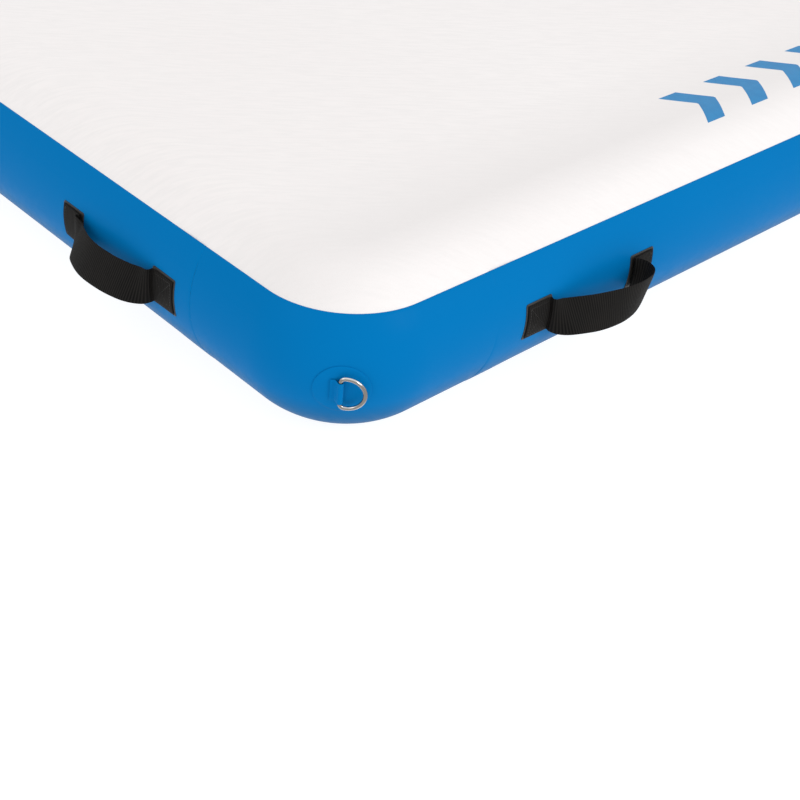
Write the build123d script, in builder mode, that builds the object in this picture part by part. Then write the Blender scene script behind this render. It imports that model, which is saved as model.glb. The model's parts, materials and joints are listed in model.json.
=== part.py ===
"""Air track mat: an inflatable drop-stitch tumbling mat with webbing handles, corner D-rings and a valve.

Millimetres, +Z up, origin on the floor under the middle of the mat.
Front is -Y, back is +Y, left is -X and right is +X. The valve is in the back wall.

Every wall section is a band between two radii about the same centre line, half way up the rim.
Angles in a section are measured above the horizontal, so 90 is the top of the rim and -90 its foot.
"""

import os
from math import asin, atan2, cos, degrees, radians, sin

from build123d import *

os.makedirs("parts", exist_ok=True)

# ---------------------------------------------------------------- mat
MAT_WIDTH = 2000.0  # left to right, between the outermost lines of the walls
MAT_LENGTH = 3000.0  # front to back
MAT_THICKNESS = 200.0
CORNER_RADIUS = 130.0  # outermost line, seen from above
FABRIC = 1.0  # one layer of coated fabric

MID_Z = MAT_THICKNESS / 2
SHEET_OUT = MAT_THICKNESS / 2  # outer radius of the two sheets at the rim
SHEET_IN = SHEET_OUT - FABRIC
TAPE_IN = SHEET_IN - FABRIC
WALL_OUT = SHEET_OUT + FABRIC
LAP_OUT = WALL_OUT + FABRIC
RIM_X = MAT_WIDTH / 2 - WALL_OUT  # centre line of the rim on the left and right
RIM_Y = MAT_LENGTH / 2 - WALL_OUT
TURN = CORNER_RADIUS - WALL_OUT  # radius of that centre line at a corner
TURN_X = RIM_X - TURN
TURN_Y = RIM_Y - TURN

# ---------------------------------------------------------------- seams round the rim
WALL_TOP = 41.0  # edges of the blue wall
WALL_FOOT = -60.0
UPPER_SHEET_EDGE = 26.0  # edges of the sheets, under the wall
LOWER_SHEET_EDGE = -43.0
TAPE_REACH = 8.0  # how far an inner tape runs each side of a sheet's edge
TAPE_GAP = 0.2
SEAM_FROM_END = 225.0  # visible edge of a side wall, from the mat's end line
LAP = 25.0
LAP_BOND = 3.0  # where the raised lap is one piece with its wall
LAP_TAPE_WIDTH = 30.0

# ---------------------------------------------------------------- drop stitch
YARN_RADIUS = 1.0
YARN_COLUMNS = 9
YARN_ROWS = 14
YARN_SPACING = 200.0

# ---------------------------------------------------------------- handles
HANDLE_Z = 98.5
HANDLE_FROM_FRONT_CORNER = 377.0  # on the front and back walls
HANDLE_FROM_SIDE_CORNER = 359.0  # on the left and right walls
HANDLE_LENGTH = 208.0
WEBBING_WIDTH = 42.0
WEBBING = 1.6
STRAP_END_LENGTH = 36.0
BACKING_MARGIN = 2.0
LOOP_SPAN = 112.0  # the part of the loop that swings
LOOP_ROOT = 8.0  # its stand-off from the wall at each end
LOOP_RISE = 28.5  # and in the middle
LOOP_LEAN = 25.0  # the webbing's upper edge leans back to the wall by this angle
LOOP_AXIS_OUT = 1.0
NECK_OUT, NECK_HALF_WIDTH = 6.5, 4.5  # the loop narrows towards its axis, to clear the wall
FULL_WIDTH_OUT = 20.5

# ---------------------------------------------------------------- D-rings
RING_WIRE = 2.2
RING_HEIGHT = 42.0
RING_DEPTH = 29.5
RING_CORNER = 4.8
RING_Z = 92.0
RING_TURN = 2.3  # the bar stands this far past the middle of the corner
RING_LEAN = -6.0  # the stiff strap holds the ring a little off its patch
RING_CLEARANCE = 0.06
PATCH_RADIUS = 30.0
PATCH = 0.9
PATCH_Z = 90.0
PATCH_TURN = 3.0
RING_STRAP = 1.1
RING_STRAP_WIDTH = 27.0
RING_STRAP_TAIL = 10.5
BAR_OUT = PATCH + RING_STRAP + RING_WIRE + RING_CLEARANCE + 0.3

# ---------------------------------------------------------------- valve, heights from the outermost line
NECK_RADIUS = 19.9
WALL_HOLE_RADIUS = 20.0
BOSS_RADIUS, BOSS_OUT = 34.0, 3.0
FLANGE_RADIUS, FLANGE_OUT = 29.0, 6.0
MOUTH_RADIUS = 18.0
SOCKET_RADIUS, SOCKET_OUT, SOCKET_FOOT = 16.0, 3.0, -3.0
SPIDER_OUT, SPIDER = -16.0, 3.0  # its outer face, and its thickness
SPOKE_WIDTH = 4.0
HUB_RADIUS = 5.0
THROAT_RADIUS = 14.0
NECK_FOOT = -28.0
STEM_RADIUS, STEM_CLEARANCE = 2.5, 0.08
BUTTON_RADIUS, BUTTON, BUTTON_OUT = 6.0, 3.0, -4.0
DIAPHRAGM_RADIUS, DIAPHRAGM = 17.0, 2.0
WASHER_RADIUS, WASHER = 10.0, 1.5
STEM_HEAD_RADIUS, STEM_HEAD = 4.0, 2.5
SPRING_RADIUS, SPRING_WIRE, SPRING_TURNS = 4.2, 0.35, 4
NUT_RADIUS, NUT_OUT, NUT = 27.0, -8.0, 6.0
NUT_NOTCHES, NUT_NOTCH_RADIUS = 8, 3.0
CAP_RADIUS, CAP, CAP_SEAL = 26.0, 5.0, 1.2
CAP_SEAL_INNER, CAP_SEAL_OUTER = 18.5, 24.5
SKIRT_INNER, SKIRT_OUTER, SKIRT = 12.5, 15.3, 4.0
CAP_RIB_WIDTH, CAP_RIB_LENGTH, CAP_RIB = 6.0, 34.0, 4.0
HINGE_UP, HINGE_OUT = 33.0, 9.8  # hinge of the cap, above the valve's middle
PIN_RADIUS, PIN_LENGTH, PIN_CLEARANCE = 1.5, 20.0, 0.06
KNUCKLE_RADIUS, KNUCKLE_LENGTH = 3.2, 9.4
EAR_RADIUS, EAR_WIDTH, EAR_CENTRE = 3.4, 4.0, 7.0


# ================================================================ planes and sections
def side_plane(outward, along=0.0):
    """Plane across a side wall, x outward and y up, its origin on the rim's centre line."""
    out_x, out_y = outward
    origin = (out_x * RIM_X + abs(out_y) * along, out_y * RIM_Y + abs(out_x) * along, MID_Z)
    outward_dir = Vector(out_x, out_y, 0)
    return Plane(origin=origin, x_dir=outward_dir, z_dir=outward_dir.cross(Vector(0, 0, 1)))


def corner_plane(corner, outward):
    """Plane across the rim where a corner meets a side, its origin on the corner's upright axis."""
    corner_x, corner_y = corner
    outward_dir = Vector(*outward, 0)
    origin = (corner_x * TURN_X, corner_y * TURN_Y, MID_Z)
    return Plane(origin=origin, x_dir=outward_dir, z_dir=outward_dir.cross(Vector(0, 0, 1)))


def tilted(plane, about_x=0.0, about_y=0.0, about_z=0.0):
    """The same plane turned about its own axes."""
    return Plane(plane.location * Rotation(about_x, about_y, about_z))


def corner_axis(corner):
    """Upright axis of a corner, pointing so that a turn goes from the X side to the Y side."""
    corner_x, corner_y = corner
    return Axis((corner_x * TURN_X, corner_y * TURN_Y, 0), (0, 0, corner_x * corner_y))


def band(layers, centre=0.0):
    """Section made of bands, each given as inner radius, outer radius, low angle, high angle."""
    with BuildSketch() as section:
        for inner, outer, low, high in layers:
            with BuildLine():
                outside = CenterArc((centre, 0), outer, low, high - low)
                inside = CenterArc((centre, 0), inner, low, high - low)
                Line(outside @ 0, inside @ 0)
                Line(outside @ 1, inside @ 1)
            make_face()
    return section.sketch


def rim(layers):
    """The same section run all the way round the rim."""
    with BuildPart() as ring:
        for outward in SIDES.values():
            with BuildSketch(side_plane(outward)):
                add(band(layers))
            extrude(amount=TURN_Y if outward[0] else TURN_X, both=True)
        for corner in CORNERS.values():
            with BuildSketch(corner_plane(corner, (corner[0], 0))):
                add(band(layers, TURN))
            revolve(axis=corner_axis(corner), revolution_arc=90)
    return ring.part


def finish(part, name):
    """Label a finished piece and write it."""
    part.label = name
    export_step(part, f"parts/{name}.step")


SIDES = {"front": (0, -1), "back": (0, 1), "left": (-1, 0), "right": (1, 0)}
CORNERS = {
    "front_left": (-1, -1),
    "front_right": (1, -1),
    "back_left": (-1, 1),
    "back_right": (1, 1),
}

# ================================================================ sheets and their inner tapes
for name, edge, pole, plate_z in (
    ("top_sheet", UPPER_SHEET_EDGE, 90.0, MAT_THICKNESS - FABRIC),
    ("bottom_sheet", -90.0, LOWER_SHEET_EDGE, 0.0),
):
    with BuildPart() as sheet:
        with BuildSketch(Plane.XY.offset(plate_z)):
            RectangleRounded(2 * RIM_X, 2 * RIM_Y, TURN)
        extrude(amount=FABRIC)
        add(rim([(SHEET_IN, SHEET_OUT, edge, pole)]))
    finish(sheet.part, name)

for name, edge in (("upper_seam_tape", UPPER_SHEET_EDGE), ("lower_seam_tape", LOWER_SHEET_EDGE)):
    finish(rim([(TAPE_IN, SHEET_IN, edge - TAPE_REACH, edge + TAPE_REACH)]), name)

# ================================================================ walls
WALL_LAYER = (SHEET_OUT, WALL_OUT, WALL_FOOT, WALL_TOP)
LAP_LAYER = (WALL_OUT, LAP_OUT, WALL_FOOT, WALL_TOP)

for corner_name, corner in CORNERS.items():
    corner_x, corner_y = corner
    stub = SEAM_FROM_END + LAP - CORNER_RADIUS
    with BuildPart() as corner_wall:
        with BuildSketch(corner_plane(corner, (corner_x, 0))):
            add(band([WALL_LAYER], TURN))
        revolve(axis=corner_axis(corner), revolution_arc=90)
        for outward, inward in (((corner_x, 0), (0, -corner_y)), ((0, corner_y), (-corner_x, 0))):
            with BuildSketch(corner_plane(corner, outward)):
                add(band([WALL_LAYER], TURN))
            extrude(amount=stub, dir=(*inward, 0))
    finish(corner_wall.part, f"corner_wall_{corner_name}")

for side_name, outward in SIDES.items():
    half = (MAT_LENGTH if outward[0] else MAT_WIDTH) / 2
    with BuildPart() as side_wall:
        with BuildSketch(side_plane(outward)):
            add(band([WALL_LAYER]))
        extrude(amount=half - SEAM_FROM_END - LAP, both=True)
        for end in (-1, 1):
            lap_middle = half - SEAM_FROM_END - (LAP + LAP_BOND) / 2
            with BuildSketch(side_plane(outward, end * lap_middle)):
                add(band([LAP_LAYER]))
            extrude(amount=(LAP + LAP_BOND) / 2, both=True)
        if side_name == "back":
            with BuildSketch(tilted(side_plane(outward), about_y=90)):
                Circle(WALL_HOLE_RADIUS)
            extrude(amount=LAP_OUT, both=True, mode=Mode.SUBTRACT)
    finish(side_wall.part, f"side_wall_{side_name}")

with BuildPart() as lap_tapes:
    tape_low = LOWER_SHEET_EDGE + TAPE_REACH + TAPE_GAP
    tape_high = UPPER_SHEET_EDGE - TAPE_REACH - TAPE_GAP
    for outward in SIDES.values():
        half = (MAT_LENGTH if outward[0] else MAT_WIDTH) / 2
        for end in (-1, 1):
            with BuildSketch(side_plane(outward, end * (half - SEAM_FROM_END - LAP))):
                add(band([(SHEET_IN, SHEET_OUT, tape_low, tape_high)]))
            extrude(amount=LAP_TAPE_WIDTH / 2, both=True)
finish(lap_tapes.part, "wall_lap_tapes")

# ================================================================ drop-stitch yarns, one for each tuft of many
with BuildPart() as yarns:
    with BuildSketch(Plane.XY.offset(FABRIC)):
        with GridLocations(YARN_SPACING, YARN_SPACING, YARN_COLUMNS, YARN_ROWS):
            Circle(YARN_RADIUS)
    extrude(amount=MAT_THICKNESS - 2 * FABRIC)
finish(yarns.part, "drop_stitch_yarns")

# ================================================================ handles
front_x = MAT_WIDTH / 2 - HANDLE_FROM_FRONT_CORNER
side_y = MAT_LENGTH / 2 - HANDLE_FROM_SIDE_CORNER
HANDLES = {
    "front_left": ("front", -front_x),
    "front_right": ("front", front_x),
    "back_left": ("back", -front_x),
    "back_right": ("back", front_x),
    "left_front": ("left", -side_y),
    "left_middle": ("left", 0.0),
    "left_back": ("left", side_y),
    "right_front": ("right", -side_y),
    "right_middle": ("right", 0.0),
    "right_back": ("right", side_y),
}
middle_angle = degrees(asin((HANDLE_Z - MID_Z) / WALL_OUT))
webbing_angle = degrees(WEBBING_WIDTH / 2 / WALL_OUT)
backing_angle = degrees((WEBBING_WIDTH / 2 + BACKING_MARGIN) / WALL_OUT)
backing_out = WALL_OUT + FABRIC
end_middle = (HANDLE_LENGTH - STRAP_END_LENGTH) / 2

with BuildPart() as backings:
    for side_name, along in HANDLES.values():
        for end in (-1, 1):
            with BuildSketch(side_plane(SIDES[side_name], along + end * end_middle)):
                low, high = middle_angle - backing_angle, middle_angle + backing_angle
                add(band([(WALL_OUT, backing_out, low, high)]))
            extrude(amount=STRAP_END_LENGTH / 2 + BACKING_MARGIN, both=True)
finish(backings.part, "handle_backings")


def leaning(out, across):
    """A point of a loop's cross section, with across measured along the leaning webbing."""
    return out - across * sin(radians(LOOP_LEAN)), across * cos(radians(LOOP_LEAN))


for handle_name, (side_name, along) in HANDLES.items():
    outward = SIDES[side_name]
    with BuildPart() as strap_ends:
        for end in (-1, 1):
            with BuildSketch(side_plane(outward, along + end * end_middle)):
                low, high = middle_angle - webbing_angle, middle_angle + webbing_angle
                add(band([(backing_out, backing_out + WEBBING, low, high)]))
            extrude(amount=STRAP_END_LENGTH / 2, both=True)
    finish(strap_ends.part, f"handle_ends_{handle_name}")

    section_plane = side_plane(outward, along)
    axis_local = (WALL_OUT + LOOP_AXIS_OUT, HANDLE_Z - MID_Z)
    section_plane = section_plane.shift_origin(section_plane.from_local_coords((*axis_local, 0)))
    ribbon_plane = tilted(section_plane, about_x=90)  # x outward, y along the wall
    with BuildPart() as loop:
        with BuildSketch(ribbon_plane):
            with BuildLine():
                outer_arc = ThreePointArc(
                    (LOOP_ROOT, -LOOP_SPAN / 2), (LOOP_RISE, 0), (LOOP_ROOT, LOOP_SPAN / 2)
                )
                inner_arc = ThreePointArc(
                    (LOOP_ROOT - WEBBING, -LOOP_SPAN / 2),
                    (LOOP_RISE - WEBBING, 0),
                    (LOOP_ROOT - WEBBING, LOOP_SPAN / 2),
                )
                Line(outer_arc @ 0, inner_arc @ 0)
                Line(outer_arc @ 1, inner_arc @ 1)
            make_face()
        across = section_plane.x_dir * leaning(0, 1)[0] + section_plane.y_dir * leaning(0, 1)[1]
        extrude(amount=WEBBING_WIDTH / 2, dir=across, both=True)
        with BuildSketch(section_plane):
            half_width = WEBBING_WIDTH / 2
            Polygon(
                leaning(NECK_OUT, NECK_HALF_WIDTH),
                leaning(NECK_OUT, -NECK_HALF_WIDTH),
                leaning(FULL_WIDTH_OUT, -half_width),
                leaning(LOOP_RISE + WEBBING, -half_width),
                leaning(LOOP_RISE + WEBBING, half_width),
                leaning(FULL_WIDTH_OUT, half_width),
                align=None,
            )
        extrude(amount=LOOP_SPAN / 2, both=True, mode=Mode.INTERSECT)
    finish(loop.part, f"handle_loop_{handle_name}")


# ================================================================ D-rings
def rim_point_plane(corner, turn, z):
    """Plane on a corner wall's face: x along the wall, y up it and z straight out of it."""
    corner_x, corner_y = corner
    around = degrees(atan2(corner_y, corner_x)) + turn
    rise = degrees(asin((z - MID_Z) / WALL_OUT))
    reach = TURN + WALL_OUT * cos(radians(rise))
    flat = Vector(cos(radians(around)), sin(radians(around)), 0)
    origin = Vector(corner_x * TURN_X, corner_y * TURN_Y, z) + flat * reach
    normal = flat * cos(radians(rise)) + Vector(0, 0, sin(radians(rise)))
    return Plane(origin=origin, x_dir=Vector(-flat.Y, flat.X, 0), z_dir=normal)


bar_half = RING_HEIGHT / 2 - RING_WIRE - RING_CORNER
bow_radius = RING_HEIGHT / 2 - RING_WIRE
leg = RING_DEPTH - 2 * RING_WIRE - RING_CORNER - bow_radius

for corner_name, corner in CORNERS.items():
    with BuildPart() as patch:
        with BuildSketch(corner_plane(corner, (corner[0], 0))):
            add(band([(WALL_OUT, WALL_OUT + PATCH, -30, 30)], TURN))
        revolve(axis=corner_axis(corner), revolution_arc=90)
        with BuildSketch(rim_point_plane(corner, PATCH_TURN, PATCH_Z)):
            Circle(PATCH_RADIUS)
        extrude(amount=PATCH_RADIUS, both=True, mode=Mode.INTERSECT)
    finish(patch.part, f"d_ring_patch_{corner_name}")

    bar_plane = rim_point_plane(corner, RING_TURN, RING_Z).offset(BAR_OUT)
    ring_plane = tilted(bar_plane, about_y=RING_LEAN)
    with BuildPart() as ring:
        with BuildLine(ring_plane) as wire:
            bar = Line((0, -bar_half), (0, bar_half))
            upper_corner = JernArc(bar @ 1, (0, 1), RING_CORNER, -90)
            upper_leg = Line(upper_corner @ 1, (RING_CORNER + leg, bow_radius))
            bow = JernArc(upper_leg @ 1, (1, 0), bow_radius, -180)
            lower_leg = Line(bow @ 1, (RING_CORNER, -bow_radius))
            JernArc(lower_leg @ 1, (-1, 0), RING_CORNER, -90)
        with BuildSketch(Plane(origin=wire.line @ 0, z_dir=wire.line % 0)):
            Circle(RING_WIRE)
        sweep(path=wire.line)
    finish(ring.part, f"d_ring_{corner_name}")

    strap_plane = tilted(bar_plane, about_x=90)  # x along the wall, y straight out of it
    strap_outer = RING_WIRE + RING_CLEARANCE + RING_STRAP
    with BuildPart() as strap:
        with BuildSketch(strap_plane):
            with BuildLine():
                foot = -BAR_OUT - RING_STRAP
                top = CenterArc((0, 0), strap_outer, -60, 180)
                tail = Line(top @ 1, (-RING_STRAP_TAIL, RING_STRAP - BAR_OUT + PATCH))
                heel = Line(tail @ 1, (-RING_STRAP_TAIL, foot))
                base = Line(heel @ 1, ((top @ 0).X, foot))
                Line(base @ 1, top @ 0)
            make_face()
            Circle(RING_WIRE + RING_CLEARANCE, mode=Mode.SUBTRACT)
        extrude(amount=RING_STRAP_WIDTH / 2, both=True)
        with BuildSketch(corner_plane(corner, (corner[0], 0))):
            add(band([(SHEET_OUT / 2, WALL_OUT + PATCH, -40, 40)], TURN))
        revolve(axis=corner_axis(corner), revolution_arc=90, mode=Mode.SUBTRACT)
    finish(strap.part, f"d_ring_strap_{corner_name}")

# ================================================================ valve
VALVE_PLANE = Plane(origin=(0, MAT_LENGTH / 2, MID_Z), x_dir=(-1, 0, 0), z_dir=(0, 1, 0))
HINGE_PLANE = Plane(
    origin=(0, MAT_LENGTH / 2 + HINGE_OUT, MID_Z + HINGE_UP), x_dir=(0, 1, 0), z_dir=(1, 0, 0)
)
RIM_BACK = Plane(origin=(0, RIM_Y, MID_Z), x_dir=(0, 1, 0), z_dir=(1, 0, 0))

with BuildPart() as boss:
    with BuildSketch(VALVE_PLANE.offset(BOSS_OUT)):
        Circle(BOSS_RADIUS)
    extrude(amount=-BOSS_RADIUS / 2, taper=-8)
    with BuildSketch(RIM_BACK):
        Circle(WALL_OUT)
    extrude(amount=2 * BOSS_RADIUS, both=True, mode=Mode.SUBTRACT)
    with BuildSketch(VALVE_PLANE.offset(BOSS_OUT)):
        Circle(NECK_RADIUS)
    extrude(amount=-BOSS_RADIUS, mode=Mode.SUBTRACT)
finish(boss.part, "valve_boss")

with BuildPart() as body:
    with BuildSketch(VALVE_PLANE.offset(BOSS_OUT)):
        Circle(FLANGE_RADIUS)
        with Locations((0, HINGE_UP - EAR_RADIUS)):
            Rectangle(2 * EAR_CENTRE + EAR_WIDTH, 4 * EAR_RADIUS)
    extrude(amount=FLANGE_OUT - BOSS_OUT)
    with BuildSketch(VALVE_PLANE.offset(NECK_FOOT)):
        Circle(NECK_RADIUS)
    extrude(amount=BOSS_OUT - NECK_FOOT)
    for ear_side in (-1, 1):
        with BuildSketch(HINGE_PLANE.offset(ear_side * EAR_CENTRE)):
            Circle(EAR_RADIUS)
            with Locations(((BOSS_OUT - HINGE_OUT) / 2, 0)):
                Rectangle(HINGE_OUT - BOSS_OUT, 2 * EAR_RADIUS)
        extrude(amount=EAR_WIDTH / 2, both=True)
    with BuildSketch(HINGE_PLANE):
        Circle(PIN_RADIUS)
    extrude(amount=PIN_LENGTH / 2, both=True, mode=Mode.SUBTRACT)
    for radius, top, foot in (
        (MOUTH_RADIUS, FLANGE_OUT, SOCKET_OUT),
        (SOCKET_RADIUS, SOCKET_OUT, SOCKET_FOOT),
        (THROAT_RADIUS, SOCKET_FOOT, NECK_FOOT),
    ):
        with BuildSketch(VALVE_PLANE.offset(foot)):
            Circle(radius)
        extrude(amount=top - foot, mode=Mode.SUBTRACT)
    with BuildSketch(VALVE_PLANE.offset(SPIDER_OUT)):
        Circle(HUB_RADIUS)
        with PolarLocations(THROAT_RADIUS / 2, 3):
            Rectangle(THROAT_RADIUS + 1, SPOKE_WIDTH)
        Circle(STEM_RADIUS + STEM_CLEARANCE, mode=Mode.SUBTRACT)
    extrude(amount=-SPIDER)
finish(body.part, "valve_body")

with BuildPart() as gasket:
    with BuildSketch(VALVE_PLANE.offset(NUT_OUT)):
        Circle(NUT_RADIUS)
        Circle(WALL_HOLE_RADIUS, mode=Mode.SUBTRACT)
    extrude(amount=-NUT_OUT)
    with BuildSketch(RIM_BACK):
        Circle(SHEET_OUT)
    extrude(amount=2 * NUT_RADIUS, both=True, mode=Mode.INTERSECT)
finish(gasket.part, "valve_gasket")

with BuildPart() as nut:
    with BuildSketch(VALVE_PLANE.offset(NUT_OUT)):
        Circle(NUT_RADIUS)
        Circle(NECK_RADIUS, mode=Mode.SUBTRACT)
        with PolarLocations(NUT_RADIUS, NUT_NOTCHES):
            Circle(NUT_NOTCH_RADIUS, mode=Mode.SUBTRACT)
    extrude(amount=-NUT)
finish(nut.part, "valve_nut")

with BuildPart() as plunger:
    with BuildSketch(VALVE_PLANE.offset(BUTTON_OUT - BUTTON)):
        Circle(BUTTON_RADIUS)
    extrude(amount=BUTTON)
    chamfer(plunger.faces().sort_by(Axis.Y)[-1].edges(), BUTTON / 4)
    stem_foot = NECK_FOOT - DIAPHRAGM - WASHER
    with BuildSketch(VALVE_PLANE.offset(stem_foot)):
        Circle(STEM_RADIUS)
    extrude(amount=BUTTON_OUT - BUTTON - stem_foot)
    with BuildSketch(VALVE_PLANE.offset(stem_foot)):
        Circle(STEM_HEAD_RADIUS)
    extrude(amount=-STEM_HEAD)
finish(plunger.part, "valve_plunger")

with BuildPart() as diaphragm:
    with BuildSketch(VALVE_PLANE.offset(NECK_FOOT)):
        Circle(DIAPHRAGM_RADIUS)
        Circle(STEM_RADIUS, mode=Mode.SUBTRACT)
    extrude(amount=-DIAPHRAGM)
finish(diaphragm.part, "valve_diaphragm")

with BuildPart() as washer:
    with BuildSketch(VALVE_PLANE.offset(NECK_FOOT - DIAPHRAGM)):
        Circle(WASHER_RADIUS)
        Circle(STEM_RADIUS, mode=Mode.SUBTRACT)
    extrude(amount=-WASHER)
finish(washer.part, "valve_washer")

spring_length = BUTTON_OUT - BUTTON - SPIDER_OUT - 2 * SPRING_WIRE
with BuildPart() as spring:
    spring_plane = VALVE_PLANE.offset(SPIDER_OUT + SPRING_WIRE)
    coil = Helix(spring_length / SPRING_TURNS, spring_length, SPRING_RADIUS)
    coil = spring_plane * coil
    with BuildSketch(Plane(origin=coil @ 0, z_dir=coil % 0)):
        Circle(SPRING_WIRE)
    sweep(path=coil)
finish(spring.part, "valve_spring")

with BuildPart() as cap_seal:
    with BuildSketch(VALVE_PLANE.offset(FLANGE_OUT)):
        Circle(CAP_SEAL_OUTER)
        Circle(CAP_SEAL_INNER, mode=Mode.SUBTRACT)
    extrude(amount=CAP_SEAL)
finish(cap_seal.part, "valve_cap_seal")

cap_under = FLANGE_OUT + CAP_SEAL
with BuildPart() as cap:
    with BuildSketch(VALVE_PLANE.offset(cap_under)):
        Circle(CAP_RADIUS)
    extrude(amount=CAP)
    fillet(cap.faces().sort_by(Axis.Y)[-1].edges(), CAP / 3)
    with BuildSketch(VALVE_PLANE.offset(cap_under)):
        Circle(SKIRT_OUTER)
        Circle(SKIRT_INNER, mode=Mode.SUBTRACT)
    extrude(amount=-SKIRT)
    with BuildSketch(VALVE_PLANE.offset(cap_under + CAP)):
        SlotOverall(CAP_RIB_LENGTH, CAP_RIB_WIDTH)
    extrude(amount=CAP_RIB)
    with BuildSketch(HINGE_PLANE):
        Circle(KNUCKLE_RADIUS)
        with Locations((0, -KNUCKLE_RADIUS)):
            Rectangle(CAP / 2, 2 * (HINGE_UP - CAP_RADIUS) - KNUCKLE_RADIUS, align=Align.CENTER)
    extrude(amount=KNUCKLE_LENGTH / 2, both=True)
    with BuildSketch(HINGE_PLANE):
        Circle(PIN_RADIUS + PIN_CLEARANCE)
    extrude(amount=KNUCKLE_LENGTH / 2, both=True, mode=Mode.SUBTRACT)
finish(cap.part, "valve_cap")

with BuildPart() as pin:
    with BuildSketch(HINGE_PLANE):
        Circle(PIN_RADIUS)
    extrude(amount=PIN_LENGTH / 2, both=True)
finish(pin.part, "valve_cap_pin")
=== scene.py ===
"""Looks of an inflatable air track mat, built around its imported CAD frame.

Shapes are worked out in millimetres in the CAD frame and become metres in build().
Front is -Y, back +Y, left -X and right +X. A point round the rim is given by a station (a point of
the rim's centre line and its outward direction), an angle above the horizontal and a radius.
"""

import json
import math

import bmesh
import bpy
import numpy as np
from mathutils import Matrix, Vector


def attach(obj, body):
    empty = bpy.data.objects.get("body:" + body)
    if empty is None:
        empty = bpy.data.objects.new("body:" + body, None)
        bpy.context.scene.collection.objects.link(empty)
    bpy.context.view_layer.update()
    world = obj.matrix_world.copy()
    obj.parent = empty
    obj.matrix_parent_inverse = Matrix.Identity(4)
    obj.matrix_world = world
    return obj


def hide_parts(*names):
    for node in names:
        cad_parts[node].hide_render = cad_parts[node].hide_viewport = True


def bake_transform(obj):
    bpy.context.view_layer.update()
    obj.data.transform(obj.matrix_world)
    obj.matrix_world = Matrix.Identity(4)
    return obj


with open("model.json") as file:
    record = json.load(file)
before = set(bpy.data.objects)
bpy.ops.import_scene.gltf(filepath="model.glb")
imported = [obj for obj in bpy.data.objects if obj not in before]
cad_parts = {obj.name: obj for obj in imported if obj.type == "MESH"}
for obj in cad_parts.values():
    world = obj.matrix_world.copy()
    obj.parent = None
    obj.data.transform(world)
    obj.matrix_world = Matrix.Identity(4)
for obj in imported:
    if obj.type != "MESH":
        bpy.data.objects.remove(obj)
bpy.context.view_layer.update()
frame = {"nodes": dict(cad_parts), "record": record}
frame_slots = {m["slot"] for m in frame["record"]["materials"]}

# ---------------------------------------------------------------- sizes, in mm
MM = 0.001
HALF_X, HALF_Y, MID_Z = 1000.0, 1500.0, 100.0
SHEET_OUT, WALL_OUT, FABRIC = 100.0, 101.0, 1.0
RIM_X, RIM_Y = HALF_X - WALL_OUT, HALF_Y - WALL_OUT
TURN = 29.0
TURN_X, TURN_Y = RIM_X - TURN, RIM_Y - TURN
WALL_TOP, WALL_FOOT = 41.0, -60.0
SEAM_FROM_END, LAP = 225.0, 25.0
SHEET_EDGE = {"top_sheet": 26.0, "bottom_sheet": -43.0}
HANDLE_Z, HANDLE_HALF = 98.5, 104.0
PAD_LENGTH, WEBBING_WIDTH, WEBBING = 36.0, 42.0, 1.6
BACKING_MARGIN, PAD_GAP = 2.0, 0.05

SIDES = {"front": (0, -1), "back": (0, 1), "left": (-1, 0), "right": (1, 0)}
CORNERS = {
    "front_left": (-1, -1),
    "front_right": (1, -1),
    "back_left": (-1, 1),
    "back_right": (1, 1),
}
FRONT_X, SIDE_Y = HALF_X - 377.0, HALF_Y - 359.0
HANDLES = {
    "front_left": ("front", -FRONT_X),
    "front_right": ("front", FRONT_X),
    "back_left": ("back", -FRONT_X),
    "back_right": ("back", FRONT_X),
    "left_front": ("left", -SIDE_Y),
    "left_middle": ("left", 0.0),
    "left_back": ("left", SIDE_Y),
    "right_front": ("right", -SIDE_Y),
    "right_middle": ("right", 0.0),
    "right_back": ("right", SIDE_Y),
}


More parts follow.
